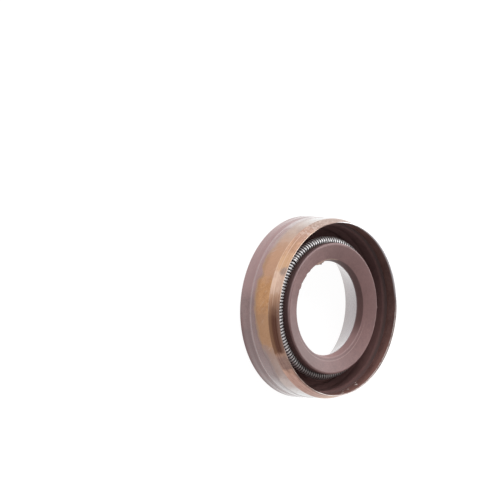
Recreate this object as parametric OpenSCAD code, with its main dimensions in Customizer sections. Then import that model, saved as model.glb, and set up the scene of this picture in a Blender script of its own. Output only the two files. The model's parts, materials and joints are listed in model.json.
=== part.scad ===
// Radial oil seal for a 13 mm shaft in a 24 mm bore, 7 mm wide.
// A stepped steel case is moulded into a rubber body, and a garter spring sits round the lip.
// The seal lies on its back face: z runs along the axis, from the back towards the spring side.

/* [Fit] */
// Diameter of the shaft that the lip runs on
shaft_d = 13; // [11.6:0.1:14.4]
// Diameter of the housing bore that the seal is pressed into
bore_d = 24; // [22:0.1:27]
// Overall width along the axis
seal_w = 7; // [6.4:0.1:8.5]
// How much smaller than the shaft the free lip is, on diameter
lip_preload = 0.37; // [0.2:0.01:0.8]
// How much larger than the bore the rubber ridge is, on diameter
rubber_bite = 0.3; // [0.2:0.01:0.5]
// How much larger than the bore the bare metal is, on diameter
metal_bite = 0.1; // [0.02:0.01:0.12]

/* [Metal case] */
// Sheet thickness
sheet_t = 0.6; // [0.45:0.01:0.75]
// Step down in radius where the case runs under the rubber
case_step = 0.5; // [0.3:0.01:0.6]
// Height above the back face where that step starts
step_z = 2.3; // [2.1:0.05:2.4]
// Axial length of that step
step_l = 0.6; // [0.4:0.05:0.7]
// Axial length of the lead-in taper at the front
taper_l = 1.6; // [1:0.05:1.8]
// Width of the flat edge left at the front rim
rim_land = 0.18; // [0.1:0.01:0.3]
// Inside radius of the bend between flange and wall
bend_in_r = 0.1; // [0.05:0.01:0.2]

/* [Rubber back] */
// Thickness of rubber behind the flange, from the raised rim
back_t = 0.85; // [0.6:0.01:1]
// Thickness of rubber on the front of the flange
floor_t = 0.45; // [0.3:0.01:0.6]
// Width of the raised rim round the back face
rim_w = 0.75; // [0.5:0.01:0.9]
// Depth of the flat inside the raised rim
flat_drop = 0.15; // [0.08:0.01:0.2]
// Diameter of the throat, where the air side cone starts
throat_d = 17.32; // [15.2:0.02:19.4]
// Depth of the throat's edge from the raised rim
throat_z = 0.35; // [0.25:0.01:0.5]
// Rubber between the throat's edge and the hole in the flange, in radius
throat_wall = 0.58; // [0.4:0.01:0.8]
// Where the shallow bevel round the throat ends, as a share of the way to the raised rim
bevel_share = 0.365; // [0.2:0.005:0.4]
// Number of moulding pockets that reach the flange
pockets = 4; // [3:1:6]
// Angle that one pocket spans
pocket_angle = 26; // [16:1:34]
// Where a pocket starts, as a share of the way from the throat to the raised rim
pocket_in_share = 0.432; // [0.41:0.002:0.6]
// Where a pocket ends, as a share of that way
pocket_out_share = 0.916; // [0.7:0.002:0.95]
// Angle of the first pocket
pocket_start = 47; // [0:1:90]

/* [Rubber outside] */
// Axial length of the rubber cover, from the back face
cover_w = 3.3; // [3.2:0.05:3.8]
// Setback of the back edge from the ridge, in radius
heel_chamfer = 0.4; // [0.2:0.01:0.5]
// Axial length of the back edge's chamfer, which runs up to the ridge
heel_l = 0.4; // [0.2:0.01:0.6]
// Axial width of the ridge
ridge_w = 1.63; // [1.2:0.01:1.7]
// Height of the ridge above its foot, in radius
ridge_h = 0.1; // [0.06:0.01:0.14]
// Axial width of the valley in front of the ridge
valley_w = 0.3; // [0.15:0.01:0.35]
// Height of the front land above the foot of the ridge, in radius
land_h = 0.06; // [0.02:0.01:0.09]
// Axial length over which the land thins out onto the metal
feather_l = 0.25; // [0.1:0.01:0.4]

/* [Rubber inside] */
// Thickness of the lining on the inside of the case
lining_t = 0.3; // [0.2:0.01:0.4]
// Distance from the front rim to the edge of the lining
lining_drop = 1.63; // [1.3:0.01:1.8]
// Radius of the fillets at the bottom of the spring chamber, as a share of its width there
fillet_share = 0.256; // [0.1:0.002:0.4]

/* [Lip] */
// Distance from the front rim to the outer edge of the nose
nose_drop = 0.82; // [0.6:0.01:1.1]
// Radial thickness of the lip head, from the lip's edge to its outer wall
head_t = 2.505; // [2.3:0.005:2.6]
// Axial fall of the nose from its outer to its inner edge
nose_fall = 0.69; // [0.4:0.01:0.85]
// Radial setback of the nose's inner edge from the lip
oil_side_run = 0.255; // [0.2:0.005:0.5]
// Axial length of the oil side, from the nose to the contact band
oil_side_l = 0.79; // [0.6:0.01:1]
// Axial width of the lip's contact band
contact_w = 0.2; // [0.1:0.01:0.3]
// Axial length of the lip head, from its heel to the nose
head_l = 2.58; // [2.45:0.01:2.8]
// Radial thickness of the flexing wall that carries the head
flex_t = 1.1; // [0.8:0.01:1.2]
// Radius of the rounded outer edge of the nose
nose_r = 0.28; // [0.05:0.01:0.35]

/* [Garter spring] */
// Diameter of the spring wire
wire_d = 0.38; // [0.28:0.01:0.44]
// Outside diameter of the coil
coil_d = 1.2; // [1:0.02:1.24]
// Gap between turns along the coil's centre line
turn_gap = 0.04; // [0.03:0.005:0.2]
// Distance from the nose's outer edge down to the coil's centre line
spring_drop = 1.74; // [1.6:0.01:1.8]
// Distance of the coil's centre line outside the head's outer wall
spring_proud = 0.2; // [0:0.01:0.25]
// Clearance between the coil and its groove
groove_gap = 0.03; // [0.01:0.005:0.06]

/* [Hidden] */

ring_fn = 120;
arc_steps = 6;
turn_steps = 7;
wire_sides = 5;
// Overshoot of a cutting solid past the face that it cuts
cut_past = 1;
// Small edge radii of the moulded rubber
soft_edge = 0.12;
fine_edge = 0.05;

ridge_r = (bore_d + rubber_bite) / 2;
ridge_foot_r = ridge_r - ridge_h;
land_r = ridge_foot_r + land_h;
valley_z = heel_l + ridge_w;
land_z = valley_z + valley_w;
heel_r = ridge_r - heel_chamfer;
flat_r = heel_r - rim_w;

case_r = (bore_d + metal_bite) / 2;
case_in_r = case_r - sheet_t;
rear_r = case_r - case_step;
rear_in_r = rear_r - sheet_t;
rim_r = case_in_r + rim_land;
flange_z = back_t;
flange_top_z = flange_z + sheet_t;
bend_r = bend_in_r + sheet_t;
// Shift of the step on the inside, which keeps the sheet's thickness even
step_shift = sheet_t * tan(atan2(case_step, step_l) / 2);

lip_r = (shaft_d - lip_preload) / 2;
head_r = lip_r + head_t;
nose_z = seal_w - nose_drop;
nose_in_r = lip_r + oil_side_run;
nose_in_z = nose_z - nose_fall;
lip_top_z = nose_in_z - oil_side_l;
lip_z = lip_top_z - contact_w;
heel_z = nose_z - head_l;
throat_r = throat_d / 2;
flange_r = throat_r + throat_wall;
bevel_r = back_at(bevel_share);
pocket_in_r = back_at(pocket_in_share);
pocket_out_r = back_at(pocket_out_share);
floor_z = flange_top_z + floor_t;
lining_z = seal_w - lining_drop;
chamber_out_r = rear_in_r - lining_t;
chamber_in_r = cone_r(floor_z) + flex_t;
chamber_fillet = fillet_share * (chamber_out_r - chamber_in_r);

spring_r = head_r + spring_proud;
spring_z = nose_z - spring_drop;
coil_r = coil_d / 2;
wire_r = wire_d / 2;
groove_r = coil_r + groove_gap;
// Radius of the wire's own centre line round the coil's axis
winding_r = coil_r - wire_r;
spring_turns = round(2 * PI * spring_r / (wire_d + turn_gap));

// Radius on the back face at a share of the way from the throat to the raised rim
function back_at(share) = throat_r + share * (flat_r - throat_r);

// Radius of the air side cone at a height
function cone_r(z) = lip_r + (throat_r - lip_r) * (lip_z - z) / (lip_z - throat_z);

function unit(v) = v / norm(v);
function place(corner) = [corner[0], corner[1]];

// Arc that rounds corner q between its neighbours p and s, or the corner itself where its radius is 0
function corner_arc(p, q, s, radius) =
    radius == 0 ? [q] :
    let (
        back = unit(p - q),
        ahead = unit(s - q),
        half = acos(back * ahead) / 2,
        centre = q + unit(back + ahead) * radius / sin(half),
        start = q + back * radius / tan(half) - centre,
        first = atan2(start.y, start.x),
        sweep = (180 - 2 * half) * sign(cross(q - p, s - q))
    )
    [for (i = [0:arc_steps])
        let (a = first + sweep * i / arc_steps)
        centre + radius * [cos(a), sin(a)]];

// Outline through corners given as [radius, height, corner radius]
function rounded(corners) =
    let (count = len(corners))
    [for (i = [0:count - 1])
        each corner_arc(
            place(corners[(i + count - 1) % count]),
            place(corners[i]),
            place(corners[(i + 1) % count]),
            corners[i][2])];

// Section of the case: flange, bend, rear wall, step, front wall and lead-in taper
module case_section() {
    polygon(rounded([
        [flange_r, flange_z, 0],
        [rear_r, flange_z, bend_r],
        [rear_r, step_z, 0],
        [case_r, step_z + step_l, 0],
        [case_r, seal_w - taper_l, 0],
        [rim_r, seal_w, 0],
        [case_in_r, seal_w, 0],
        [case_in_r, step_z + step_l + step_shift, 0],
        [rear_in_r, step_z + step_shift, 0],
        [rear_in_r, flange_top_z, bend_in_r],
        [flange_r, flange_top_z, 0]
    ]));
}

// Section of the rubber as if the case were not there: back, outside, lining, chamber, head and lip
module rubber_outline() {
    within_sheet_r = case_r - sheet_t / 2;
    polygon(rounded([
        [flat_r, flat_drop, fine_edge],
        [flat_r, 0, fine_edge],
        [heel_r, 0, soft_edge],
        [ridge_r, heel_l, soft_edge],
        [ridge_r, valley_z - ridge_w / 3, ridge_w / 4],
        [ridge_foot_r, valley_z, 0],
        [ridge_foot_r, land_z - valley_w / 2, 0],
        [land_r, land_z, fine_edge],
        [land_r, cover_w - feather_l, fine_edge],
        [case_r, cover_w, 0],
        [within_sheet_r, cover_w, 0],
        [within_sheet_r, lining_z, 0],
        [case_in_r, lining_z, 0],
        [case_in_r - lining_t, lining_z, lining_t * 0.8],
        [case_in_r - lining_t, step_z + step_l + step_shift, 0],
        [chamber_out_r, step_z + step_shift, 0],
        [chamber_out_r, floor_z, chamber_fillet],
        [chamber_in_r, floor_z, chamber_fillet],
        [cone_r(heel_z) + flex_t, heel_z, soft_edge],
        [head_r, heel_z, soft_edge],
        [head_r, nose_z, nose_r],
        [nose_in_r, nose_in_z, fine_edge],
        [lip_r, lip_top_z, 0],
        [lip_r, lip_z, 0],
        [throat_r, throat_z, soft_edge],
        [bevel_r, flat_drop, fine_edge]
    ]));
}

// Arc-shaped well in the back face, as deep as the flange
module pocket() {
    rotate_extrude(angle = pocket_angle, $fn = ring_fn)
        translate([pocket_in_r, -cut_past])
            square([pocket_out_r - pocket_in_r, cut_past + flange_z + sheet_t / 2]);
}

module rubber_body() {
    color([0.53, 0.43, 0.43])
    difference() {
        rotate_extrude($fn = ring_fn)
            difference() {
                rubber_outline();
                case_section();
                translate([spring_r, spring_z]) circle(r = groove_r, $fn = 48);
            }
        for (i = [0:pockets - 1])
            rotate([0, 0, pocket_start + 360 * i / pockets - pocket_angle / 2]) pocket();
    }
}

module metal_case() {
    color([0.76, 0.58, 0.43])
    rotate_extrude($fn = ring_fn) case_section();
}

// Ring of points round the wire at one step along the coil
function wire_ring(step) =
    let (
        around = 360 * step / (spring_turns * turn_steps),
        wound = 360 * step / turn_steps,
        out = [cos(around), sin(around), 0],
        along = [-sin(around), cos(around), 0],
        up = [0, 0, 1],
        normal = out * cos(wound) + up * sin(wound),
        centre = out * spring_r + up * spring_z + normal * winding_r,
        advance = along * (spring_r + winding_r * cos(wound)) / (spring_turns * winding_r),
        heading = unit(up * cos(wound) - out * sin(wound) + advance),
        side = cross(heading, normal)
    )
    [for (j = [0:wire_sides - 1])
        let (a = 360 * j / wire_sides)
        centre + wire_r * (normal * cos(a) + side * sin(a))];

// Closed coil wound round a circle, as one endless wire
module garter_spring() {
    steps = spring_turns * turn_steps;
    points = [for (i = [0:steps - 1]) each wire_ring(i)];
    faces = [for (i = [0:steps - 1]) for (j = [0:wire_sides - 1])
        let (
            next_i = (i + 1) % steps,
            next_j = (j + 1) % wire_sides,
            a = i * wire_sides + j,
            b = i * wire_sides + next_j,
            c = next_i * wire_sides + next_j,
            d = next_i * wire_sides + j
        )
        each [[a, b, c], [a, c, d]]];
    color([0.8, 0.79, 0.78])
    polyhedron(points, faces, convexity = 20);
}

rubber_body();
metal_case();
garter_spring();
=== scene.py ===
import json
import math

import bmesh
import bpy
import numpy as np
from mathutils import Matrix, Vector


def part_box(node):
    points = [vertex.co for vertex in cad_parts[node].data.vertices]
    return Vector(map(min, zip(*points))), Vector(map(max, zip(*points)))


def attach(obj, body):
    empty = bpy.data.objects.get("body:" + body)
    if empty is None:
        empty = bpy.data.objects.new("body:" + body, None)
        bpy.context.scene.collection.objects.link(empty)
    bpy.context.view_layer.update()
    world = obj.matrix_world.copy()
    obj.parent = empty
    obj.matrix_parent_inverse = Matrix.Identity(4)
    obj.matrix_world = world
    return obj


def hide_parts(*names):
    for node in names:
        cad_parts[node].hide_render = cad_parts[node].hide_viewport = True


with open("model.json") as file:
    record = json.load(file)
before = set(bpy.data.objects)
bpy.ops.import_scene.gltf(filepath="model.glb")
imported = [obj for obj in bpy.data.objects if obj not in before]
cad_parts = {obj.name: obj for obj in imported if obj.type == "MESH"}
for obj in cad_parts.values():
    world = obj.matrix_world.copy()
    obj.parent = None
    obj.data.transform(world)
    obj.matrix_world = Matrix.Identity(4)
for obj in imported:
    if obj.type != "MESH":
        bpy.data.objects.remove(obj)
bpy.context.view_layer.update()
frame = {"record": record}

# Sizes in millimetres. The fits come from the frame, and most of the rest repeat the part's own sizes.
# The flared mouth, the lining's slope, the thin rubber edge and the trimming marks are finer than those.
MM = 0.001
mounts = {m["name"]: m["dims"] for m in frame["record"]["mounts"]}
LIP_R = mounts["shaft_lip"]["r_mm"]
RIDGE_R = mounts["housing_fit"]["r_mm"]
CASE_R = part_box("metal_case")[1].x / MM
SEAL_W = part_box("metal_case")[1].z / MM

# Metal case
SHEET_T = 0.6
CASE_STEP = 0.5
STEP_Z = 2.3
STEP_L = 0.6
TAPER_L = 1.6
RIM_LAND = 0.18
MOUTH_FLARE = 0.1
MOUTH_L = 0.9
BEND_IN_R = 0.1
TAPER_EDGE = 0.25
RIM_EDGE = 0.03
MOUTH_EDGE = 0.02
CASE_IN_R = CASE_R - SHEET_T
REAR_R = CASE_R - CASE_STEP
REAR_IN_R = REAR_R - SHEET_T
BEND_R = BEND_IN_R + SHEET_T
STEP_SHIFT = SHEET_T * math.tan(math.atan2(CASE_STEP, STEP_L) / 2)
TAPER_Z = SEAL_W - TAPER_L

# Rubber back
FLANGE_Z = 0.85
FLANGE_TOP_Z = FLANGE_Z + SHEET_T
FLOOR_T = 0.45
FLOOR_Z = FLANGE_TOP_Z + FLOOR_T
HEEL_CHAMFER = 0.4
HEEL_R = RIDGE_R - HEEL_CHAMFER
BACK_RIM_W = 0.75
FLAT_R = HEEL_R - BACK_RIM_W
FLAT_DROP = 0.15
THROAT_R = 8.66
THROAT_Z = 0.35
THROAT_WALL = 0.58
FLANGE_R = THROAT_R + THROAT_WALL
BACK_W = FLAT_R - THROAT_R
BEVEL_SHARE = 0.365
BEVEL_R = THROAT_R + BEVEL_SHARE * BACK_W
POCKETS = 4
POCKET_START = 47
POCKET_ANGLE = 26
POCKET_IN_SHARE = 0.432
POCKET_OUT_SHARE = 0.916
POCKET_IN_R = THROAT_R + POCKET_IN_SHARE * BACK_W
POCKET_OUT_R = THROAT_R + POCKET_OUT_SHARE * BACK_W

# Rubber outside
COVER_W = 3.3
FEATHER_L = 0.25
HEEL_L = 0.4
RIDGE_W = 1.63
RIDGE_H = 0.1
RIDGE_FOOT_R = RIDGE_R - RIDGE_H
VALLEY_Z = HEEL_L + RIDGE_W
VALLEY_W = 0.3
LAND_Z = VALLEY_Z + VALLEY_W
LAND_H = 0.06
LAND_R = RIDGE_FOOT_R + LAND_H
LAND_BACK = 0.2

# Lip and chamber
LINING_T = 0.3
LINING_DROP = 1.63
LINING_Z = SEAL_W - LINING_DROP
LINING_TIP_T = 0.06
LINING_TIP_EDGE = 0.03
LINING_SLOPE_L = 0.6
LINING_SLOPE_EDGE = 0.3
CHAMBER_FILLET = 0.45
NOSE_DROP = 0.82
NOSE_Z = SEAL_W - NOSE_DROP
NOSE_R = 0.28
OIL_SIDE_RUN = 0.255
NOSE_IN_R = LIP_R + OIL_SIDE_RUN
NOSE_FALL = 0.69
NOSE_IN_Z = NOSE_Z - NOSE_FALL
OIL_SIDE_L = 0.79
LIP_TOP_Z = NOSE_IN_Z - OIL_SIDE_L
CONTACT_W = 0.2
LIP_Z = LIP_TOP_Z - CONTACT_W
HEAD_T = 2.505
HEAD_R = LIP_R + HEAD_T
HEAD_L = 2.58
HEEL_OF_HEAD_Z = NOSE_Z - HEAD_L
FLEX_T = 1.1

# Trimming marks on the nose, azimuths in degrees
BURR_H = 0.26
BURR_AZIMUTH = 201.5
BURR_REACH = 0.3
NICKS_AZIMUTH = 236
NIB_H = 0.14
NIB_AZIMUTH = 93.4

# Garter spring
WIRE_R = 0.19
TURN_GAP = 0.04
COIL_R = 0.6
SPRING_PROUD = 0.2
SPRING_R = HEAD_R + SPRING_PROUD
SPRING_DROP = 1.74
SPRING_Z = NOSE_Z - SPRING_DROP
GROOVE_GAP = 0.03
GROOVE_R = COIL_R + GROOVE_GAP
SPRING_TURNS = round(2 * math.pi * SPRING_R / (2 * WIRE_R + TURN_GAP))

# Edge roundings, and how finely the rings are divided
SOFT_EDGE = 0.12
FINE_EDGE = 0.05
COLUMNS = 540
ARC_STEPS = 5
GROOVE_POINTS = 20
SMOOTH_DEG = 32


def cone_r(z):
    """Radius of the air side cone at a height."""
    return LIP_R + (THROAT_R - LIP_R) * (LIP_Z - z) / (LIP_Z - THROAT_Z)


def corner_arc(p, q, s, radius):
    """Points that round corner q between its neighbours p and s."""
    if radius == 0:
        return [tuple(q)]
    back = (p - q) / np.linalg.norm(p - q)
    ahead = (s - q) / np.linalg.norm(s - q)
    half = math.acos(float(back @ ahead)) / 2
    middle = (back + ahead) / np.linalg.norm(back + ahead)
    centre = q + middle * radius / math.sin(half)
    start = q + back * radius / math.tan(half) - centre
    into, out = q - p, s - q
    sweep = (math.pi - 2 * half) * math.copysign(1, into[0] * out[1] - into[1] * out[0])
    first = math.atan2(start[1], start[0])
    angles = [first + sweep * i / ARC_STEPS for i in range(ARC_STEPS + 1)]
    return [(centre[0] + radius * math.cos(a), centre[1] + radius * math.sin(a)) for a in angles]


def rounded(corners):
    """Points of an outline, and the row of each named corner.

    A corner is (radius, height, rounding) and may have a name.
    """
    spots = [np.array(c[:2], float) for c in corners]
    points, rows = [], {}
    for i, corner in enumerate(corners):
        if len(corner) > 3:
            rows[corner[3]] = len(points)
        points += corner_arc(spots[i - 1], spots[i], spots[(i + 1) % len(spots)], corner[2])
    return np.array(points), rows


def new_object(name, mesh, smooth_deg=SMOOTH_DEG):
    mesh.shade_smooth()
    mesh.set_sharp_from_angle(angle=math.radians(smooth_deg))
    piece = bpy.data.objects.new(name, mesh)
    bpy.context.scene.collection.objects.link(piece)
    return piece


def turned_grid(outline):
    """Azimuths round the ring and the outline's points at each, in millimetres."""
    azimuth = np.arange(COLUMNS) * 2 * math.pi / COLUMNS
    grid = np.empty((COLUMNS, len(outline), 3))
    grid[:, :, 0] = np.cos(azimuth)[:, None] * outline[None, :, 0]
    grid[:, :, 1] = np.sin(azimuth)[:, None] * outline[None, :, 0]
    grid[:, :, 2] = outline[None, :, 1]
    return azimuth, grid


def ring_faces(columns, rows):
    """Quads of a grid that closes on itself both ways, as a list indexed by column and row."""
    def quad(i, j):
        i2, j2 = (i + 1) % columns, (j + 1) % rows
        return (i * rows + j, i2 * rows + j, i2 * rows + j2, i * rows + j2)
    return [[quad(i, j) for j in range(rows)] for i in range(columns)]


def waves(azimuth, terms):
    """Sum of sines round the ring, from (amplitude, cycles, phase in degrees)."""
    return sum(a * np.sin(n * azimuth + math.radians(p)) for a, n, p in terms)


def bump_at(azimuth, centre_deg, half_deg, edge_deg):
    """1 within half_deg of an azimuth and 0 away from it, with soft edges."""
    off = np.abs((np.degrees(azimuth) - centre_deg + 180) % 360 - 180)
    t = np.clip((half_deg + edge_deg - off) / edge_deg, 0, 1)
    return t * t * (3 - 2 * t)


# Height of the thin rubber edge on the metal, in millimetres, at azimuths in degrees
EDGE_AZIMUTH = [0, 14, 30, 44, 66, 90, 104, 118, 136, 160, 185, 205, 222, 230, 238, 246,
                248.6, 250.4, 252.4, 254.5, 262, 270, 279, 283, 290, 298, 304, 312, 320, 330, 345]
EDGE_HEIGHT = [3.4, 3.7, 3.3, 3.15, 3.4, 3.7, 3.35, 3.1, 3.2, 3.45, 3.2, 3.05, 3.15, 3.25, 3.05, 3.15,
               3.45, 3.75, 3.5, 3.05, 3.02, 3.12, 3.2, 3.5, 3.55, 3.65, 3.95, 4.1, 3.75, 3.4, 3.3]


def edge_height(azimuth):
    """Height of the rubber's edge round the ring: a slow wander with fine ripples."""
    slow = np.interp(np.degrees(azimuth), EDGE_AZIMUTH, EDGE_HEIGHT, period=360)
    return slow + waves(azimuth, [(0.03, 17, 40), (0.025, 41, 200), (0.018, 67, 10), (0.012, 113, 80)])


def rubber_outline():
    """The rubber's section: back, outside, round the case, chamber, lip and back again."""
    opening = math.acos(-SPRING_PROUD / GROOVE_R)
    groove = [(SPRING_R + GROOVE_R * math.cos(a), SPRING_Z + GROOVE_R * math.sin(a), 0)
              for a in np.linspace(2 * math.pi - opening, opening, GROOVE_POINTS)]
    burr_foot_z = NOSE_IN_Z + BURR_REACH * (NOSE_Z - NOSE_IN_Z) / (HEAD_R - NOSE_IN_R)
    corners = [
        (FLAT_R, FLAT_DROP, FINE_EDGE),
        (FLAT_R, 0, FINE_EDGE),
        (HEEL_R, 0, SOFT_EDGE),
        (RIDGE_R, HEEL_L, SOFT_EDGE),
        (RIDGE_R, VALLEY_Z - RIDGE_W / 3, RIDGE_W / 4),
        (RIDGE_FOOT_R, VALLEY_Z, FINE_EDGE),
        (RIDGE_FOOT_R, LAND_Z - VALLEY_W / 2, FINE_EDGE),
        (LAND_R, LAND_Z, FINE_EDGE),
        (LAND_R, COVER_W - FEATHER_L, FINE_EDGE, "land_end"),
        (CASE_R, COVER_W, 0, "cover_edge"),
        (CASE_R, STEP_Z + STEP_L, 0),
        (REAR_R, STEP_Z, 0),
        (REAR_R, FLANGE_Z, BEND_R),
        (POCKET_OUT_R, FLANGE_Z, 0, "pocket_out_floor"),
        (POCKET_IN_R, FLANGE_Z, 0, "pocket_in_floor"),
        (FLANGE_R, FLANGE_Z, 0),
        (FLANGE_R, FLANGE_TOP_Z, 0),
        (REAR_IN_R, FLANGE_TOP_Z, BEND_IN_R),
        (REAR_IN_R, STEP_Z + STEP_SHIFT, 0),
        (CASE_IN_R, STEP_Z + STEP_L + STEP_SHIFT, 0),
        (CASE_IN_R, LINING_Z, 0),
        (CASE_IN_R - LINING_TIP_T, LINING_Z, LINING_TIP_EDGE),
        (CASE_IN_R - LINING_T, LINING_Z - LINING_SLOPE_L, LINING_SLOPE_EDGE),
        (CASE_IN_R - LINING_T, STEP_Z + STEP_L + STEP_SHIFT, SOFT_EDGE),
        (REAR_IN_R - LINING_T, STEP_Z + STEP_SHIFT, SOFT_EDGE),
        (REAR_IN_R - LINING_T, FLOOR_Z, CHAMBER_FILLET),
        (cone_r(FLOOR_Z) + FLEX_T, FLOOR_Z, CHAMBER_FILLET),
        (cone_r(HEEL_OF_HEAD_Z) + FLEX_T, HEEL_OF_HEAD_Z, SOFT_EDGE),
        (HEAD_R, HEEL_OF_HEAD_Z, SOFT_EDGE),
        *groove,
        (HEAD_R, NOSE_Z, NOSE_R, "nose_edge"),
        (NOSE_IN_R + BURR_REACH, burr_foot_z, 0),
        (NOSE_IN_R, NOSE_IN_Z, SOFT_EDGE, "nose_in"),
        (LIP_R, LIP_TOP_Z, 0, "lip_top"),
        (LIP_R, LIP_Z, 0, "lip"),
        (THROAT_R, THROAT_Z, SOFT_EDGE),
        (BEVEL_R, FLAT_DROP, FINE_EDGE),
        (POCKET_IN_R, FLAT_DROP, 0, "pocket_in_face"),
        (POCKET_OUT_R, FLAT_DROP, 0, "pocket_out_face"),
    ]
    return rounded(corners)


def make_rubber_body():
    outline, rows = rubber_outline()
    azimuth, grid = turned_grid(outline)
    creep = edge_height(azimuth) - COVER_W
    grid[:, rows["land_end"]:rows["cover_edge"] + 1, 2] += creep[:, None]
    land_back = LAND_BACK + waves(azimuth, [(0.08, 23, 0), (0.06, 37, 90)])
    grid[:, rows["land_end"]:rows["cover_edge"], 2] -= land_back[:, None]
    ragged = 1 + waves(azimuth, [(0.25, 72, 0), (0.2, 113, 60)])
    burr = BURR_H * bump_at(azimuth, BURR_AZIMUTH, half_deg=1.5, edge_deg=8) * ragged
    nicks = waves(azimuth, [(0.035, 29, 150), (0.03, 47, 20), (0.015, 83, 0)])
    burr += bump_at(azimuth, NICKS_AZIMUTH, half_deg=14, edge_deg=10) * nicks
    nib = NIB_H * bump_at(azimuth, NIB_AZIMUTH, half_deg=0.2, edge_deg=0.8)
    for rows_moved, shift in ((range(rows["nose_in"], rows["nose_in"] + ARC_STEPS + 1), -burr),
                              (range(rows["nose_edge"] + 1, rows["nose_edge"] + 4), nib)):
        for j in rows_moved:
            grid[:, j, 0] += np.cos(azimuth) * shift
            grid[:, j, 1] += np.sin(azimuth) * shift
    count = len(outline)
    faces = ring_faces(COLUMNS, count)
    kept = []
    walls = []
    per_degree = COLUMNS / 360
    in_pocket = np.zeros(COLUMNS, bool)
    for k in range(POCKETS):
        first = round((POCKET_START + 360 * k / POCKETS - POCKET_ANGLE / 2) * per_degree)
        last = first + round(POCKET_ANGLE * per_degree)
        for i in range(first, last):
            in_pocket[i % COLUMNS] = True
    face_in, face_out = rows["pocket_in_face"], rows["pocket_out_face"]
    floor_in, floor_out = rows["pocket_in_floor"], rows["pocket_out_floor"]
    for i in range(COLUMNS):
        for j in range(count):
            opened = in_pocket[i] and j in (face_in, floor_out)
            if not opened:
                kept.append(faces[i][j])
        if in_pocket[i]:
            i2 = (i + 1) % COLUMNS
            here, ahead = i * count, i2 * count
            for face, floor in ((face_in, floor_in), (face_out, floor_out)):
                walls.append((here + face, ahead + face, ahead + floor, here + floor))
            for edge, neighbour in ((i, i - 1), (i2, i2)):
                if not in_pocket[neighbour]:
                    e = edge * count
                    walls.append((e + face_in, e + face_out, e + floor_out, e + floor_in))
    mesh = bpy.data.meshes.new("rubber_body_skin")
    mesh.from_pydata((grid.reshape(-1, 3) * MM).tolist(), [], kept + walls)
    work = bmesh.new()
    work.from_mesh(mesh)
    bmesh.ops.recalc_face_normals(work, faces=work.faces)
    work.to_mesh(mesh)
    work.free()
    piece = new_object("rubber_body_skin", mesh)
    for edge in mesh.edges:
        row, other = (v % count for v in edge.vertices)
        if row == other and row in (rows["lip_top"], rows["lip"]):
            edge.use_edge_sharp = True
    return piece


def make_metal_case():
    outline, _ = rounded([
        (FLANGE_R, FLANGE_Z, 0),
        (REAR_R, FLANGE_Z, BEND_R),
        (REAR_R, STEP_Z, 0),
        (CASE_R, STEP_Z + STEP_L, 0),
        (CASE_R, TAPER_Z, TAPER_EDGE),
        (CASE_IN_R + RIM_LAND, SEAL_W, RIM_EDGE),
        (CASE_IN_R + MOUTH_FLARE, SEAL_W, MOUTH_EDGE),
        (CASE_IN_R, SEAL_W - MOUTH_L, 0),
        (CASE_IN_R, STEP_Z + STEP_L + STEP_SHIFT, 0),
        (REAR_IN_R, STEP_Z + STEP_SHIFT, 0),
        (REAR_IN_R, FLANGE_TOP_Z, BEND_IN_R),
        (FLANGE_R, FLANGE_TOP_Z, 0),
    ])
    _, grid = turned_grid(outline)
    faces = ring_faces(COLUMNS, len(outline))
    mesh = bpy.data.meshes.new("metal_case_skin")
    mesh.from_pydata((grid.reshape(-1, 3) * MM).tolist(), [], [q for column in faces for q in column])
    return new_object("metal_case_skin", mesh)


TURN_STEPS = 26
WIRE_SIDES = 10
WIRE_SMOOTH_DEG = 60
# The coil's hand of winding, and where its ends meet: degrees, then the shift and its spread in turns
WINDING_HAND = -1
JOIN_AZIMUTH = 229
JOIN_SHIFT = 0.3
JOIN_SPREAD = 0.7


def make_garter_spring():
    """The coil as one wire wound round a circle; where its ends meet, one turn sits against the next."""
    steps = SPRING_TURNS * TURN_STEPS
    turn = np.arange(steps) / TURN_STEPS
    wound = WINDING_HAND * 2 * math.pi * turn
    from_join = turn - round(SPRING_TURNS * JOIN_AZIMUTH / 360)
    shifted = turn - JOIN_SHIFT * np.exp(-(from_join / JOIN_SPREAD) ** 2)
    around = 2 * math.pi * shifted / SPRING_TURNS
    winding_r = COIL_R - WIRE_R
    out = np.stack([np.cos(around), np.sin(around), np.zeros(steps)], 1)
    up = np.array([0.0, 0.0, 1.0])
    normal = out * np.cos(wound)[:, None] + up * np.sin(wound)[:, None]
    centre = out * SPRING_R + up * SPRING_Z + normal * winding_r
    heading = np.roll(centre, -1, 0) - np.roll(centre, 1, 0)
    heading /= np.linalg.norm(heading, axis=1)[:, None]
    side = np.cross(heading, normal)
    side /= np.linalg.norm(side, axis=1)[:, None]
    a = np.arange(WIRE_SIDES) * 2 * math.pi / WIRE_SIDES
    grid = centre[:, None, :] + WIRE_R * (normal[:, None, :] * np.cos(a)[None, :, None]
                                          + side[:, None, :] * np.sin(a)[None, :, None])
    faces = ring_faces(steps, WIRE_SIDES)
    mesh = bpy.data.meshes.new("garter_spring_wire")
    mesh.from_pydata((grid.reshape(-1, 3) * MM).tolist(), [], [q for column in faces for q in column])
    work = bmesh.new()
    work.from_mesh(mesh)
    bmesh.ops.recalc_face_normals(work, faces=work.faces)
    work.to_mesh(mesh)
    work.free()
    return new_object("garter_spring_wire", mesh, WIRE_SMOOTH_DEG)


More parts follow.
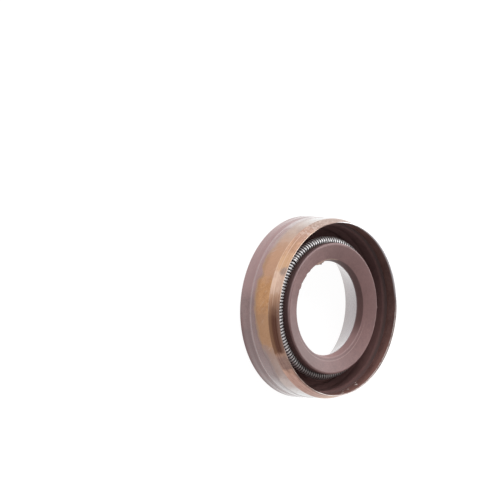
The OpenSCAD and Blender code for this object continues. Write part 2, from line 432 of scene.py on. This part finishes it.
class Wire:
    """A node's output. Arithmetic on it adds Math nodes."""

    def __init__(self, paint, socket):
        self.paint = paint
        self.socket = socket

    def __add__(self, other):
        return self.paint.math("ADD", self, other)

    def __radd__(self, other):
        return self.paint.math("ADD", other, self)

    def __sub__(self, other):
        return self.paint.math("SUBTRACT", self, other)

    def __rsub__(self, other):
        return self.paint.math("SUBTRACT", other, self)

    def __mul__(self, other):
        return self.paint.math("MULTIPLY", self, other)

    def __rmul__(self, other):
        return self.paint.math("MULTIPLY", other, self)

    def __truediv__(self, other):
        return self.paint.math("DIVIDE", self, other)

    def __rtruediv__(self, other):
        return self.paint.math("DIVIDE", other, self)

    def __pow__(self, other):
        return self.paint.math("POWER", self, other)


class Paint:
    """One material's node tree."""

    def __init__(self, tree):
        self.tree = tree
        self.tree.nodes.clear()

    def node(self, kind, settings=None, sockets=None, output=0):
        made = self.tree.nodes.new(kind)
        for name, value in (settings or {}).items():
            setattr(made, name, value)
        for name, value in (sockets or {}).items():
            socket = made.inputs[name]
            if isinstance(value, Wire):
                self.tree.links.new(value.socket, socket)
            else:
                socket.default_value = value
        return Wire(self, made.outputs[output]) if made.outputs else None

    def math(self, operation, *values):
        return self.node("ShaderNodeMath", {"operation": operation}, dict(enumerate(values)))

    def fade(self, value, low, high):
        """0 below low, 1 above high, smooth between; low may be the higher number."""
        return self.node("ShaderNodeMapRange", {"interpolation_type": "SMOOTHSTEP"},
                         {"Value": value, "From Min": low, "From Max": high})

    def band(self, value, low, high, edge):
        """1 between low and high, fading to 0 over edge on each side."""
        return self.fade(value, low - edge, low) * self.fade(value, high + edge, high)

    def mix(self, factor, a, b):
        return self.node("ShaderNodeMix", {"data_type": "RGBA"}, {0: factor, 6: a, 7: b}, 2)

    def vector(self, x, y, z):
        return self.node("ShaderNodeCombineXYZ", None, {0: x, 1: y, 2: z})

    def noise(self, where, scale, detail=3.0, rough=0.55):
        return self.node("ShaderNodeTexNoise", None,
                         {"Vector": where, "Scale": scale, "Detail": detail, "Roughness": rough})

    def bump(self, height, distance, strength=1.0, below=None):
        sockets = {"Height": height, "Distance": distance, "Strength": strength}
        if below is not None:
            sockets["Normal"] = below
        return self.node("ShaderNodeBump", None, sockets)


class Spot:
    """Where a point of the ring is: place in millimetres, radius, height and azimuth in degrees."""

    def __init__(self, paint):
        place = paint.node("ShaderNodeTexCoord", None, None, "Object")
        self.place = paint.node("ShaderNodeVectorMath", {"operation": "SCALE"}, {0: place, "Scale": 1 / MM})
        split = [paint.node("ShaderNodeSeparateXYZ", None, {0: self.place}, i) for i in range(3)]
        self.x, self.y, self.z = split
        self.r = (self.x ** 2 + self.y ** 2) ** 0.5
        turn = paint.math("ARCTAN2", self.y, self.x)
        self.azimuth = paint.math("FLOORED_MODULO", turn * (180 / math.pi), 360.0)
        self.paint = paint

    def sector(self, centre, half, edge):
        """1 within half degrees of an azimuth, fading to 0 over edge degrees."""
        off = self.paint.math("FLOORED_MODULO", self.azimuth - (centre - 180.0), 360.0) - 180.0
        return self.paint.fade(self.paint.math("ABSOLUTE", off), half + edge, half)

    def fleck(self, azimuth, z, size):
        """Small uneven speck on the case at a place."""
        u = (self.azimuth - azimuth) * (CASE_R * math.pi / 180)
        w = self.z - z
        ragged = (self.paint.noise(self.place, 6.0, 3) - 0.5) * (2.5 * size)
        return self.paint.fade((u ** 2 * 1.8 + w ** 2) ** 0.5 + ragged, size, size * 0.4)

    def drawn(self, round_scale, radial_scale, axial_scale):
        """Place stretched for streaks that run round the ring."""
        return self.paint.vector(self.x / self.r * round_scale, self.y / self.r * round_scale,
                                 self.z * axial_scale + self.r * radial_scale)


def rgb(r, g, b):
    return (r, g, b, 1.0)


def new_paint(name):
    material = bpy.data.materials.new(name)
    material.use_nodes = True
    return material, Paint(material.node_tree)


def finish_paint(paint, sockets):
    surface = paint.node("ShaderNodeBsdfPrincipled", None, sockets)
    paint.node("ShaderNodeOutputMaterial", None, {"Surface": surface})


def moulded_rubber():
    """Mauve brown rubber: satin on the nose, glossy outside and on the air side, with painted shade in the
    chamber and a painted pale sheen on the air side.
    """
    material, paint = new_paint("moulded_rubber")
    spot = Spot(paint)
    # Where the parts of the moulding are
    outside = paint.fade(spot.r, HEEL_R - 0.3, HEEL_R)
    slope = (THROAT_R - LIP_R) / (LIP_Z - THROAT_Z)
    off_cone = spot.r + slope * spot.z - (LIP_R + slope * LIP_Z)
    air_side = paint.fade(off_cone, 0.06, 0.02)
    oil_side = paint.fade(spot.r, NOSE_IN_R + 0.04, NOSE_IN_R)
    oil_side = oil_side * paint.fade(spot.z, LIP_Z + 0.03, LIP_Z + 0.1)
    # Where painted shade falls on the head's outer wall, darker lower down towards the spring
    shaded_head_wall = paint.fade(spot.r, HEAD_R - 0.1, HEAD_R - 0.03)
    shaded_head_wall = shaded_head_wall * paint.fade(spot.z, NOSE_Z - 0.45, NOSE_Z - 1.05)
    shaded_head_wall = shaded_head_wall * paint.fade(spot.r, HEAD_R + 0.1, HEAD_R + 0.02)
    chamber = paint.band(spot.r, HEAD_R - 0.02, CASE_IN_R, 0.03) * paint.fade(spot.z, 0.5, 1.0)
    nose = paint.fade(spot.z, NOSE_IN_Z - 0.08, NOSE_IN_Z) * paint.fade(spot.r, HEAD_R + 0.1, HEAD_R)
    # Base tone, from clouds down to pores
    cloud = paint.noise(spot.place, 0.35, 4)
    blotch = paint.noise(spot.place, 1.6, 3)
    grain = paint.noise(spot.place, 16.0, 2)
    pores = paint.noise(spot.place, 5.0, 2)
    rings = paint.noise(spot.drawn(0.8, 7.0, 7.0), 1.0, 3)
    tone = paint.fade(cloud * 0.33 + blotch * 0.2 + rings * 0.15 + pores * 0.32, 0.32, 0.68)
    colour = paint.mix(tone, rgb(0.155, 0.076, 0.073), rgb(0.235, 0.124, 0.119))
    # Outside: painted shade on one stretch below the valley, and painted light and highlights on the upper
    # left
    shade = spot.sector(303, 15, 3) * paint.fade(spot.z, VALLEY_Z, VALLEY_Z - 0.15) * outside
    colour = paint.mix(shade * 0.5, colour, rgb(0.140, 0.070, 0.072))
    # Painted highlight on the rounded heel on the upper left
    heel = paint.fade(spot.z, 0.5, 0.15) * spot.sector(240, 26, 16) * outside
    colour = paint.mix(heel * 0.5, colour, rgb(0.46, 0.38, 0.38))
    # Painted light on the upper left of the outside
    upper_left_light = spot.sector(230, 26, 14) * outside
    colour = paint.mix(upper_left_light * 0.5, colour, rgb(0.36, 0.205, 0.205))
    # Painted highlight along the valley
    valley = paint.band(spot.z, VALLEY_Z + 0.02, LAND_Z - 0.04, 0.08) * outside
    colour = paint.mix(valley * (0.08 + 0.36 * blotch), colour, rgb(0.42, 0.31, 0.31))
    # Chamber, lining and lip
    # Painted shade: the chamber's rubber is darkened a little, as a recess
    colour = paint.mix(chamber * 0.08, colour, rgb(0.06, 0.034, 0.031))
    # Painted shade on the head's outer wall
    colour = paint.mix(shaded_head_wall * 0.45, colour, rgb(0.055, 0.026, 0.026))
    colour = paint.mix(chamber * spot.sector(38, 38, 25) * 0.5, colour, rgb(0.150, 0.068, 0.060))
    # Painted shade at the lining's edge, strongest on the right
    lining_edge_shade = paint.fade(spot.z, LINING_Z - 0.6, LINING_Z - 0.1) * chamber
    lining_shade_strength = 0.55 + 0.25 * spot.sector(115, 55, 20)
    colour = paint.mix(lining_edge_shade * lining_shade_strength, colour, rgb(0.056, 0.037, 0.035))
    # Painted sheen on the air side on the right: pale and bluish towards the lip, darker towards the throat
    air_side_sheen = paint.mix(paint.fade(spot.z, 2.8, 0.4), rgb(0.245, 0.205, 0.23), rgb(0.165, 0.122, 0.128))
    colour = paint.mix(air_side * spot.sector(95, 60, 25) * 0.6, colour, air_side_sheen)
    # Painted shade on the oil side on the right, and painted light on it low down
    colour = paint.mix(oil_side * spot.sector(110, 60, 40) * 0.75, colour, rgb(0.070, 0.033, 0.031))
    colour = paint.mix(oil_side * spot.sector(15, 35, 30) * 0.6, colour, rgb(0.36, 0.22, 0.215))
    # Nose: painted shade, a painted highlight along its pale outer edge, and the marks of trimming on its
    # inner edge
    nose_shade = 0.35 * spot.sector(135, 45, 30) + 0.62 * spot.sector(312, 18, 25)
    colour = paint.mix(nose * nose_shade, colour, rgb(0.115, 0.055, 0.052))
    # Painted highlight along the nose's rounded outer edge on the upper left
    nose_edge = paint.band(spot.r, HEAD_R - 0.15, HEAD_R - 0.04, 0.05) * nose
    colour = paint.mix(nose_edge * spot.sector(210, 55, 30) * 0.6, colour, rgb(0.42, 0.29, 0.295))
    inner_edge = paint.band(spot.r, LIP_R + 0.06, NOSE_IN_R + 0.08, 0.03)
    inner_edge = inner_edge * paint.fade(spot.z, NOSE_IN_Z - 0.25, NOSE_IN_Z - 0.1)
    burr = inner_edge * spot.sector(193, 14, 12)
    colour = paint.mix(burr * (0.3 + 0.7 * blotch), colour, rgb(0.44, 0.29, 0.225))
    # Fine steps left by trimming near the inner edge, shown by paint alone: painted shade in a dark ring
    # and painted highlights in pale rings
    trimmed = nose * spot.sector(5, 50, 30)
    trim_step_shade = paint.band(spot.r, NOSE_IN_R + 0.24, NOSE_IN_R + 0.30, 0.05) * trimmed
    colour = paint.mix(trim_step_shade * 0.4, colour, rgb(0.10, 0.05, 0.05))
    trim_step_highlight = paint.band(spot.r, NOSE_IN_R + 0.44, NOSE_IN_R + 0.48, 0.05)
    trim_step_highlight = trim_step_highlight + paint.band(spot.r, NOSE_IN_R, NOSE_IN_R + 0.08, 0.03)
    colour = paint.mix(trim_step_highlight * trimmed * 0.35, colour, rgb(0.44, 0.31, 0.31))
    # Where the rubber thins out on the metal, the gold coat shows through it
    skin = spot.r - CASE_R + (blotch - 0.5) * 0.06 + (grain - 0.5) * 0.05
    thin = paint.fade(skin, 0.062, 0.008) * paint.fade(spot.z, LAND_Z + 0.05, LAND_Z + 0.15) * outside
    under = paint.mix(spot.sector(262, 33, 8), rgb(0.30, 0.215, 0.20), rgb(0.37, 0.215, 0.13))
    under = paint.mix(spot.sector(205, 18, 12), under, rgb(0.34, 0.255, 0.235))
    colour = paint.mix(thin, colour, under)
    # A pale veil of thin rubber at the top, with a painted sheen on it
    veil_and_sheen = paint.fade(spot.z + (blotch - 0.5) * 0.6, LAND_Z + 0.25, LAND_Z + 0.85) * outside
    colour = paint.mix(veil_and_sheen * spot.sector(212, 16, 14) * 0.5, colour, rgb(0.42, 0.315, 0.29))
    # Painted shadow in short dashes under the rubber's edge at the top left
    dash = paint.band(spot.z + (blotch - 0.5) * 0.3, 2.96, 3.0, 0.07) * spot.sector(206, 8, 6) * outside
    dash = dash * paint.fade(paint.noise(spot.drawn(30.0, 0.0, 3.0), 1.0, 3), 0.46, 0.62)
    colour = paint.mix(dash * 0.6, colour, rgb(0.12, 0.08, 0.072))
    # Painted shade low down, and painted white reflections at the top and the bottom near the metal
    low_shade = spot.sector(340, 12, 10) * outside * paint.fade(spot.z, 1.7, 0.9)
    colour = paint.mix(low_shade * 0.45, colour, rgb(0.12, 0.064, 0.064))
    top_reflection = spot.sector(197, 9, 8) * outside * paint.fade(spot.z, 1.9, 2.7)
    colour = paint.mix(top_reflection * 0.4, colour, rgb(0.62, 0.60, 0.60))
    low_reflection = spot.sector(350, 14, 16) * outside * paint.fade(spot.z, 1.2, 2.6)
    colour = paint.mix(low_reflection * 0.6, colour, rgb(0.56, 0.53, 0.53))
    rough = 0.40 + 0.1 * grain - 0.2 * outside - 0.24 * air_side + 0.42 * chamber
    relief = paint.bump(grain * 0.5 + pores, 0.010 * MM, 0.5)
    relief = paint.bump(rings * (1.0 - chamber), 0.010 * MM, 0.4, relief)
    heel_gloss = paint.fade(spot.z + 0.9 * spot.sector(240, 24, 20), 0.4, 1.2)
    gloss = outside * heel_gloss * (1.0 - 0.9 * thin) + 0.8 * air_side
    finish_paint(paint, {"Base Color": colour, "Roughness": rough, "Normal": relief, "IOR": 1.5,
                         "Coat Weight": gloss, "Coat Roughness": 0.08, "Coat IOR": 1.55})
    return material


# Pale flecks inside the mouth: azimuth in degrees, height and size in millimetres
FLECKS = [(29.4, 5.94, 0.30), (31.6, 5.45, 0.18), (21.3, 5.86, 0.20),
          (17.5, 5.6, 0.16), (14.0, 6.2, 0.19), (12.0, 6.45, 0.16)]


def bonding_coat():
    """Steel under a thin gold brown coat: matt on the wall, thin and coppery on the taper, dark inside."""
    material, paint = new_paint("bonding_coat")
    spot = Spot(paint)
    cloud = paint.noise(spot.place, 0.55, 4)
    patch = paint.noise(spot.place, 1.5, 3)
    speckle = paint.noise(spot.place, 9.0, 3)
    streak = paint.noise(spot.drawn(2.0, 0.0, 7.0), 1.0, 4)
    lines = paint.noise(spot.drawn(0.5, 0.0, 22.0), 1.0, 2)
    rise = paint.noise(spot.drawn(14.0, 0.0, 0.8), 1.0, 3)
    pores = paint.noise(spot.place, 4.5, 2)
    drift = (patch - 0.5) * 12.0 + (speckle - 0.5) * 4.0

    def zone(centre, half, edge):
        """Sector with a wandering border."""
        off = paint.math("FLOORED_MODULO", spot.azimuth + drift - (centre - 180.0), 360.0) - 180.0
        return paint.fade(paint.math("ABSOLUTE", off), half + edge, half)

    # Wall: gold coat, painted pale at the top and bottom as a reflection of the white room, with a pinkish
    # film near the rubber
    mottle = cloud * 0.32 + speckle * 0.2 + rise * 0.2 + pores * 0.28
    gold = paint.mix(paint.fade(mottle, 0.35, 0.65), rgb(0.385, 0.188, 0.080), rgb(0.555, 0.308, 0.155))
    # Painted lighter and darker reflections in two stretches of the gold
    gold = paint.mix(zone(236, 14, 8) * 0.6, gold, rgb(0.475, 0.285, 0.212))
    gold = paint.mix(zone(291, 13, 9) * 0.6, gold, rgb(0.335, 0.192, 0.118))
    near_rubber = paint.fade(spot.z + (patch - 0.5) * 0.5, 3.75, 3.15)
    gold = paint.mix(near_rubber * 0.4, gold, rgb(0.27, 0.145, 0.085))
    # Painted reflection: a pale haze where the wall is not gold
    haze = paint.mix(paint.fade(mottle, 0.35, 0.65), rgb(0.42, 0.305, 0.26), rgb(0.58, 0.465, 0.41))
    grey_haze = paint.mix(speckle, rgb(0.42, 0.335, 0.315), rgb(0.57, 0.485, 0.465))
    haze = paint.mix(zone(328, 8, 10) * 0.7, haze, grey_haze)
    # Painted white reflections at the top and at the bottom
    white_reflection = spot.sector(174, 12, 28) + zone(0, 14, 16)
    haze = paint.mix(white_reflection, haze, rgb(0.76, 0.76, 0.76))
    film = paint.mix(speckle, rgb(0.22, 0.143, 0.125), rgb(0.34, 0.23, 0.203))
    gold_side = paint.fade(spot.azimuth + drift, 208, 234) * paint.fade(spot.azimuth + drift, 314, 294)
    far_side = spot.sector(95, 70, 15) * paint.fade(cloud * 0.7 + mottle * 0.3, 0.34, 0.56)
    wall = paint.mix(paint.math("MAXIMUM", gold_side, far_side), haze, gold)
    wall = paint.mix(zone(311, 6, 11) * 0.7, wall, film)
    creep = paint.fade(spot.z + (patch - 0.5) * 0.8, 4.9, 4.0) * zone(308, 8, 7)
    wall = paint.mix(creep * 0.7, wall, rgb(0.30, 0.205, 0.185))
    creep = paint.fade(spot.z + (patch - 0.5) * 0.8, 3.9, 3.1) * zone(212, 16, 12)
    wall = paint.mix(creep * 0.6, wall, rgb(0.45, 0.335, 0.305))
    grime_and_gap_shade = paint.fade(patch * 0.5 + pores * 0.5, 0.54, 0.66) * zone(210, 12, 8)
    wall = paint.mix(grime_and_gap_shade * 0.6, wall, rgb(0.34, 0.27, 0.245))
    grit = paint.fade(pores, 0.66, 0.72) * (spot.sector(340, 14, 10) + 0.7 * spot.sector(208, 10, 8))
    wall = paint.mix(grit * 0.6, wall, rgb(0.12, 0.09, 0.08))
    strokes = paint.noise(paint.vector(spot.azimuth * 0.4 + spot.z * 1.5, spot.z * 0.6, 0.0), 1.0, 3)
    wall = paint.mix(paint.fade(strokes, 0.56, 0.74) * 0.25, wall, rgb(0.66, 0.56, 0.50))
    wall = paint.mix(paint.fade(strokes, 0.44, 0.28) * 0.25, wall, rgb(0.26, 0.15, 0.10))

    # Taper: drawn copper sheen with stains, a painted highlight streak and a painted dark reflection
    sheen = paint.fade(streak * 0.65 + patch * 0.35, 0.35, 0.65)
    copper = paint.mix(sheen, rgb(0.44, 0.235, 0.148), rgb(0.63, 0.39, 0.262))
    # Painted highlight streak on the upper left, palest in its middle
    copper = paint.mix(zone(241, 4, 5) * 0.6, copper, rgb(0.66, 0.41, 0.235))
    copper = paint.mix(zone(214, 6, 6) * 0.6, copper, rgb(0.46, 0.27, 0.215))
    pale = paint.mix(sheen, rgb(0.58, 0.37, 0.28), rgb(0.78, 0.57, 0.45))
    copper = paint.mix(zone(254.5, 5, 6) * 0.9, copper, pale)
    # Painted dark reflection on the left of the taper, browner at its foot and top
    dark_reflection_end = spot.azimuth + drift * 0.4
    brown_side = paint.fade(spot.azimuth + drift * 0.5, 256, 280) * paint.fade(dark_reflection_end, 306.5, 300.5)
    dark_reflection = paint.mix(streak, rgb(0.068, 0.026, 0.017), rgb(0.112, 0.047, 0.031))
    taper_foot = paint.fade(spot.z, TAPER_Z + 0.65, TAPER_Z + 0.25)
    dark_reflection = paint.mix(taper_foot * 0.8, dark_reflection, rgb(0.19, 0.098, 0.056))
    taper_top = paint.fade(spot.z, SEAL_W - 0.55, SEAL_W - 0.1)
    dark_reflection = paint.mix(taper_top * 0.6, dark_reflection, rgb(0.25, 0.150, 0.120))
    copper = paint.mix(brown_side, copper, dark_reflection)
    pink = paint.mix(sheen, rgb(0.17, 0.100, 0.084), rgb(0.28, 0.178, 0.150))
    copper = paint.mix(zone(308, 5, 7) * paint.fade(dark_reflection_end, 300.5, 306.5), copper, pink)
    red_copper = paint.mix(sheen, rgb(0.28, 0.148, 0.132), rgb(0.40, 0.247, 0.222))
    copper = paint.mix(zone(336, 14, 10) * 0.75, copper, red_copper)
    copper = paint.mix(zone(188, 14, 10) * 0.7, copper, rgb(0.38, 0.29, 0.262))
    spot_off = (((spot.azimuth + drift * 0.3 - 247.0) / 3.2) ** 2 + ((spot.z - 6.6) / 0.6) ** 2) ** 0.5
    copper = paint.mix(paint.fade(spot_off, 1.2, 0.4) * 0.7, copper, rgb(0.25, 0.195, 0.185))
    second_line = paint.band(spot.z, 5.98, 6.03, 0.05) * zone(240, 22, 10) * paint.fade(streak, 0.3, 0.55)
    copper = paint.mix(second_line * 0.6, copper, rgb(0.76, 0.58, 0.46))
    pale_lines = paint.fade(lines, 0.54, 0.70) * (0.4 - 0.3 * brown_side)
    copper = paint.mix(pale_lines, copper, rgb(0.74, 0.56, 0.46))
    copper = paint.mix(paint.fade(lines, 0.46, 0.32) * 0.3, copper, rgb(0.26, 0.14, 0.10))
    scuff = paint.noise(spot.place, 3.0, 5, 0.65)
    pale_scuff = paint.fade(scuff, 0.42, 0.66) * zone(203, 10, 8)
    copper = paint.mix(pale_scuff * 0.7, copper, rgb(0.72, 0.60, 0.54))
    dark_scuff = paint.fade(scuff, 0.50, 0.26) * zone(205, 12, 8)
    copper = paint.mix(dark_scuff * 0.5, copper, rgb(0.36, 0.195, 0.160))
    rubs = paint.noise(paint.vector(spot.azimuth * 0.35 - spot.z * 1.1, spot.z * 0.5, 7.0), 1.0, 4)
    copper = paint.mix(paint.fade(rubs, 0.54, 0.72) * zone(204, 11, 7) * 0.6, copper, rgb(0.74, 0.62, 0.57))

    taper = paint.fade(spot.z, TAPER_Z - 0.06, TAPER_Z + 0.04)
    flare = paint.math("MAXIMUM", spot.z - (SEAL_W - MOUTH_L), 0.0) * (MOUTH_FLARE / MOUTH_L)
    outside = paint.fade(spot.r - flare, CASE_IN_R + 0.015, CASE_IN_R + 0.045)
    colour = paint.mix(taper, wall, copper)
    # Painted highlight along the taper's rounded edge
    edge_line = paint.band(spot.z, TAPER_Z, TAPER_Z + 0.06, 0.05) * zone(250, 24, 14)
    edge_line = edge_line * paint.fade(patch, 0.3, 0.55)
    colour = paint.mix(edge_line * (0.5 - 0.4 * brown_side), colour, rgb(0.72, 0.55, 0.44))

    # Inside: brown coat with painted light low on the right near the rim, and a few pale flecks near the
    # rim
    brown = paint.mix(paint.fade(cloud * 0.45 + pores * 0.55, 0.3, 0.7),
                      rgb(0.104, 0.050, 0.044), rgb(0.185, 0.097, 0.085))
    lit = paint.fade(spot.z, SEAL_W - 1.2, SEAL_W - 0.4) * spot.sector(35, 25, 25)
    brown = paint.mix(lit * 0.6, brown, rgb(0.285, 0.142, 0.118))
    specks = sum(spot.fleck(*place) for place in FLECKS)
    colour = paint.mix(outside, brown, colour)
    # Rim: dark and scuffed, with a painted shadow line below it, painted highlights in pale stretches, and
    # a painted sheen inside the mouth
    # Painted shadow line just under the rim at the bottom
    dark_line = paint.band(spot.z, SEAL_W - 0.20, SEAL_W - 0.08, 0.05) * outside * spot.sector(352, 32, 14)
    colour = paint.mix(dark_line * 0.7, colour, rgb(0.13, 0.075, 0.062))
    inside = 1.0 - outside
    # Painted highlight along the inside of the mouth, broken into stretches
    line = paint.band(spot.z, SEAL_W - 0.20, SEAL_W - 0.09, 0.04) * inside * spot.sector(45, 44, 12)
    chipped = paint.fade(paint.noise(spot.drawn(24.0, 0.0, 3.0), 1.0, 4), 0.34, 0.62)
    colour = paint.mix(line * (0.25 + 0.65 * chipped), colour, rgb(0.86, 0.78, 0.75))
    gleam = paint.fade(spot.z, SEAL_W - 0.40, SEAL_W - 0.08) * inside * spot.sector(140, 32, 14)
    colour = paint.mix(gleam, colour, rgb(0.93, 0.90, 0.92))
    rim = paint.fade(spot.z, SEAL_W - 0.05, SEAL_W - 0.02)
    scuffed = paint.fade(patch * 0.6 + speckle * 0.4, 0.4, 0.6)
    rim_scuffs_and_highlights = paint.mix(scuffed, rgb(0.11, 0.065, 0.054), rgb(0.30, 0.21, 0.18))
    # Painted highlights on pale stretches of the rim
    rim_scuffs_and_highlights = paint.mix(spot.sector(236, 24, 10) * 0.7, rim_scuffs_and_highlights, rgb(0.70, 0.53, 0.43))
    rim_scuffs_and_highlights = paint.mix(spot.sector(12, 24, 10) * 0.75, rim_scuffs_and_highlights, rgb(0.82, 0.74, 0.70))
    rim_scuffs_and_highlights = paint.mix(spot.sector(140, 38, 12) * 0.9, rim_scuffs_and_highlights, rgb(0.84, 0.84, 0.86))
    colour = paint.mix(rim, colour, rim_scuffs_and_highlights)
    colour = paint.mix(specks * inside, colour, rgb(0.86, 0.78, 0.74))

    relief = paint.bump(speckle, 0.006 * MM, 0.6)
    relief = paint.bump(lines, 0.008 * MM, 0.5, relief)
    rough = 0.34 + 0.12 * speckle - 0.08 * taper
    metal = outside * (0.65 + 0.25 * taper)
    finish_paint(paint, {"Base Color": colour, "Roughness": rough, "Metallic": metal, "Normal": relief})
    return material


def spring_wire():
    """Bright drawn wire, with painted shade low down, on the upper right and between the turns."""
    material, paint = new_paint("spring_wire")
    spot = Spot(paint)
    patch = paint.noise(spot.place, 2.2, 3)
    fine = paint.noise(spot.place, 30.0, 2)
    colour = paint.mix(paint.fade(patch, 0.3, 0.65), rgb(0.84, 0.82, 0.825), rgb(0.95, 0.94, 0.945))
    # Painted shade low down
    bottom_shade = spot.sector(2, 20, 36)
    colour = paint.mix(bottom_shade * 0.86, colour, rgb(0.125, 0.10, 0.096))
    shaded = spot.sector(138, 12, 18)
    colour = paint.mix(shaded * 0.5, colour, rgb(0.20, 0.18, 0.18))
    # Painted shade between the turns, darker deeper in the gaps
    depth = COIL_R - ((spot.r - SPRING_R) ** 2 + (spot.z - SPRING_Z) ** 2) ** 0.5
    grime_and_gap_shade = paint.fade(depth + (fine - 0.5) * 0.02, 0.022, 0.075)
    colour = paint.mix(grime_and_gap_shade * 0.92, colour, rgb(0.075, 0.055, 0.055))
    rough = 0.40 + 0.10 * fine + 0.25 * grime_and_gap_shade
    metal = (0.55 - 0.25 * spot.sector(292, 28, 25)) * (1.0 - 0.6 * grime_and_gap_shade)
    relief = paint.bump(fine, 0.002 * MM, 0.3)
    finish_paint(paint, {"Base Color": colour, "Metallic": metal, "Roughness": rough, "Normal": relief})
    return material


def dress(piece, node, material):
    """Give a piece its finish and let it stand for the solid of its node."""
    piece.data.materials.append(material)
    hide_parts(node)
    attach(piece, "root")


dress(make_rubber_body(), "rubber_body", moulded_rubber())
dress(make_metal_case(), "metal_case", bonding_coat())
dress(make_garter_spring(), "garter_spring", spring_wire())


# The stage, in metres; the floor lies just under the seal
FLOOR_HALF = 1.5
FLOOR_DROP = 0.00002
FLOOR_GLOW = 0.95
FLOOR_SHADOW = 0.14
HORIZON = 1.0
ZENITH = 0.35


def make_floor():
    h = FLOOR_HALF
    corners = [(-h, -h), (h, -h), (h, h), (-h, h)]
    mesh = bpy.data.meshes.new("floor")
    mesh.from_pydata([(x, y, -FLOOR_DROP) for x, y in corners], [], [(0, 1, 2, 3)])
    floor = bpy.data.objects.new("floor", mesh)
    bpy.context.scene.collection.objects.link(floor)
    material, paint = new_paint("white_floor")
    grey = rgb(FLOOR_SHADOW, FLOOR_SHADOW, FLOOR_SHADOW)
    pale = paint.node("ShaderNodeBsdfDiffuse", None, {"Color": grey})
    glow = paint.node("ShaderNodeEmission", None, {"Color": rgb(1, 1, 1), "Strength": FLOOR_GLOW})
    surface = paint.node("ShaderNodeAddShader", None, {0: pale, 1: glow})
    paint.node("ShaderNodeOutputMaterial", None, {"Surface": surface})
    mesh.materials.append(material)


def make_world():
    """White room, dimmer overhead; the camera itself sees plain white."""
    world = bpy.data.worlds.new("white_room")
    bpy.context.scene.world = world
    world.use_nodes = True
    paint = Paint(world.node_tree)
    way = paint.node("ShaderNodeTexCoord", None, None, "Generated")
    height = paint.node("ShaderNodeSeparateXYZ", None, {0: way}, 2)
    low = paint.node("ShaderNodeBackground", None, {"Color": rgb(1, 1, 1), "Strength": HORIZON})
    high = paint.node("ShaderNodeBackground", None, {"Color": rgb(1, 1, 1), "Strength": ZENITH})
    white = paint.node("ShaderNodeBackground", None, {"Color": rgb(1, 1, 1), "Strength": 1.0})
    toward = paint.node("ShaderNodeSeparateXYZ", None, {0: way}, 1)
    dim = paint.math("MAXIMUM", paint.fade(height, 0.1, 0.9), 0.8 * paint.fade(toward, -0.3, -0.95))
    room = paint.node("ShaderNodeMixShader", None, {0: dim, 1: low, 2: high})
    near_side = paint.fade(toward, -0.4, -0.9) * paint.fade(height, 0.6, 0.3)
    mirrored = paint.node("ShaderNodeMixShader", None, {0: near_side, 1: white, 2: high})
    glossy = paint.node("ShaderNodeLightPath", None, None, "Is Glossy Ray")
    camera = paint.node("ShaderNodeLightPath", None, None, "Is Camera Ray")
    surface = paint.node("ShaderNodeMixShader", None, {0: glossy, 1: room, 2: mirrored})
    surface = paint.node("ShaderNodeMixShader", None, {0: camera, 1: surface, 2: white})
    paint.node("ShaderNodeOutputWorld", None, {"Surface": surface})


def make_softbox(name, place, size, watts):
    lamp = bpy.data.lights.new(name, "AREA")
    lamp.shape = "SQUARE"
    lamp.size = size
    lamp.energy = watts
    box = bpy.data.objects.new(name, lamp)
    bpy.context.scene.collection.objects.link(box)
    box.location = place
    box.rotation_euler = (-Vector(place)).to_track_quat("-Z", "Y").to_euler()


# The photograph's view: the axis leans off the line of sight and points right and a little down
PICTURE_PX = 480
SCALE_PX_PER_MM = 7.454
ORIGIN_PX = (299.98, 306.33)
AXIS_LEAN = math.radians(46.91)
AXIS_FALL = math.radians(3.6)
CAMERA_DISTANCE = 1.0
SENSOR_MM = 36.0


def make_camera():
    lean_s, lean_c = math.sin(AXIS_LEAN), math.cos(AXIS_LEAN)
    fall_s, fall_c = math.sin(AXIS_FALL), math.cos(AXIS_FALL)
    right = Vector((-fall_s, lean_c * fall_c, lean_s * fall_c))
    up = Vector((-fall_c, -lean_c * fall_s, -lean_s * fall_s))
    back = Vector((0, -lean_s, lean_c))
    across = (ORIGIN_PX[0] - PICTURE_PX / 2) / SCALE_PX_PER_MM * MM
    down = (ORIGIN_PX[1] - PICTURE_PX / 2) / SCALE_PX_PER_MM * MM
    data = bpy.data.cameras.new("camera")
    data.sensor_width = SENSOR_MM
    data.lens = SENSOR_MM * CAMERA_DISTANCE / (PICTURE_PX / SCALE_PX_PER_MM * MM)
    data.clip_end = 10
    camera = bpy.data.objects.new("camera", data)
    bpy.context.scene.collection.objects.link(camera)
    place = back * CAMERA_DISTANCE - right * across + up * down
    camera.matrix_world = Matrix.Translation(place) @ Matrix((right, up, back)).transposed().to_4x4()
    bpy.context.scene.camera = camera


make_floor()
make_world()
make_softbox("key_softbox", place=(-0.16, 0.40, 0.27), size=0.36, watts=1.3)
make_softbox("side_softbox", place=(-0.42, -0.08, 0.26), size=0.30, watts=1.3)
make_camera()
bpy.context.scene.view_settings.view_transform = "Standard"
